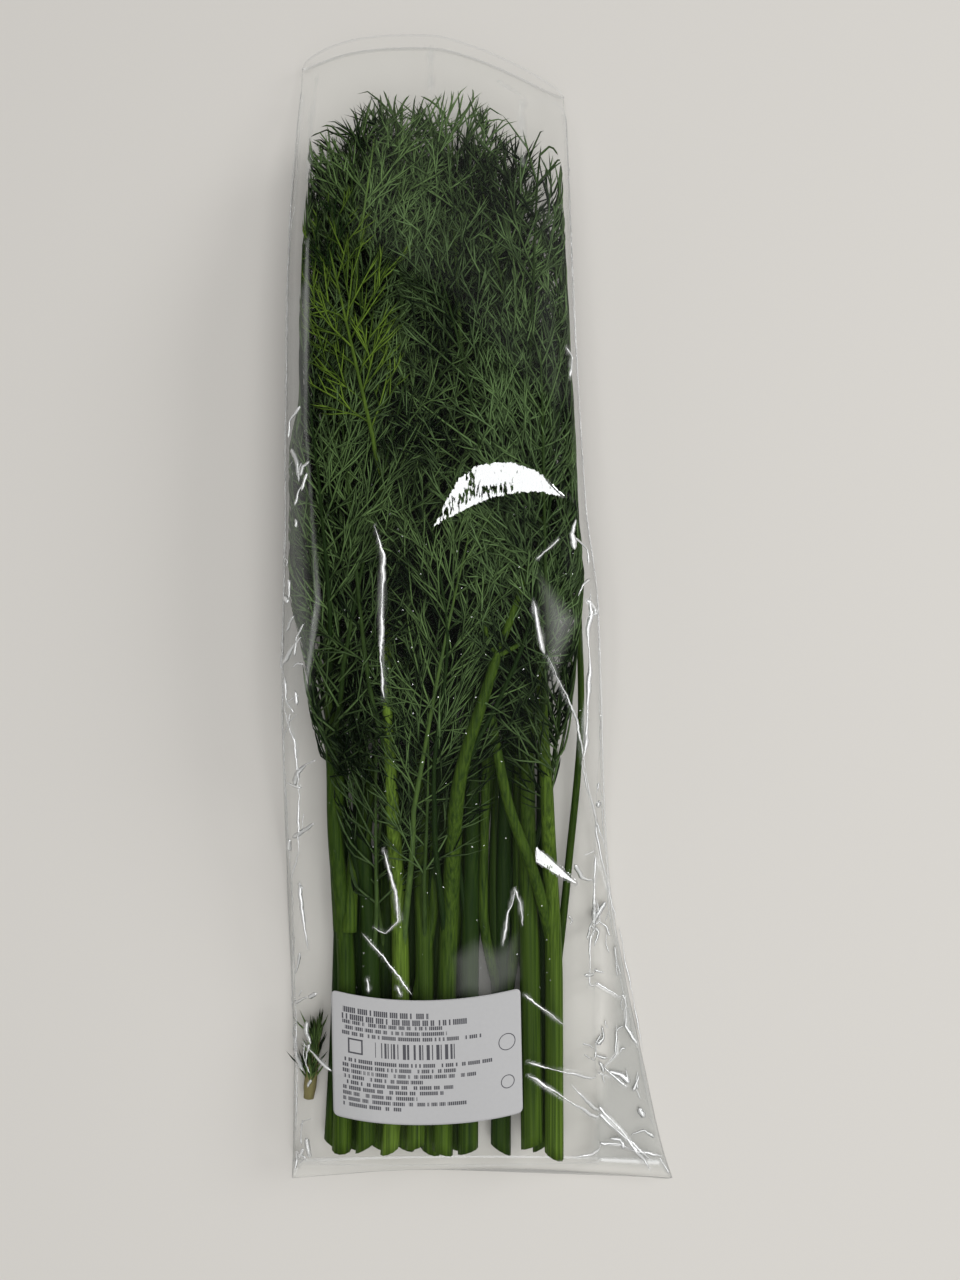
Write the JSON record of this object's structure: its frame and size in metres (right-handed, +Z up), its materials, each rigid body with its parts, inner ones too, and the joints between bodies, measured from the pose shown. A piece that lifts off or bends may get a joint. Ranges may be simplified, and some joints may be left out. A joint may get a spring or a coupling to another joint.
{
  "type": "dill bunch",
  "caption": "Fresh dill lying in a clear film bag open at its top: ribbed stems with feathery fronds, and a printed paper label stuck over the cut ends.",
  "frame": {"origin": "on the surface that the bag lies on, below the middle of the bag", "axes": "+Y along the bunch from the cut ends to the frond tips, +X to the right as seen from above, +Z up, away from the surface"},
  "size_m": [0.1228, 0.361, 0.038],
  "materials": {
    "dill_green": "soft, slightly waxy",
    "dill_dark": "soft, slightly waxy",
    "dill_bright": "soft, slightly waxy",
    "cut_stem": "dry, matt",
    "clear_film": "clear, glossy, creased",
    "label_paper": "coated paper, half matt"
  },
  "bodies": {
    "root": {"stem_low_1": "dill_dark", "stem_low_2": "dill_dark", "stem_low_3": "dill_dark", "stem_low_4": "dill_dark", "stem_core_1": "dill_dark", "stem_core_2": "dill_dark", "stem_core_3": "dill_dark", "stem_core_4": "dill_dark", "stem_mid_1": "dill_green", "stem_mid_2": "dill_green", "stem_mid_3": "dill_green", "stem_mid_4": "dill_green", "stem_top_1": "dill_green", "stem_top_2": "dill_bright", "stem_top_3": "dill_green", "stem_top_4": "dill_green", "loose_piece": "cut_stem", "film_bag": "clear_film", "paper_label": "label_paper"}
  },
  "joints": []
}
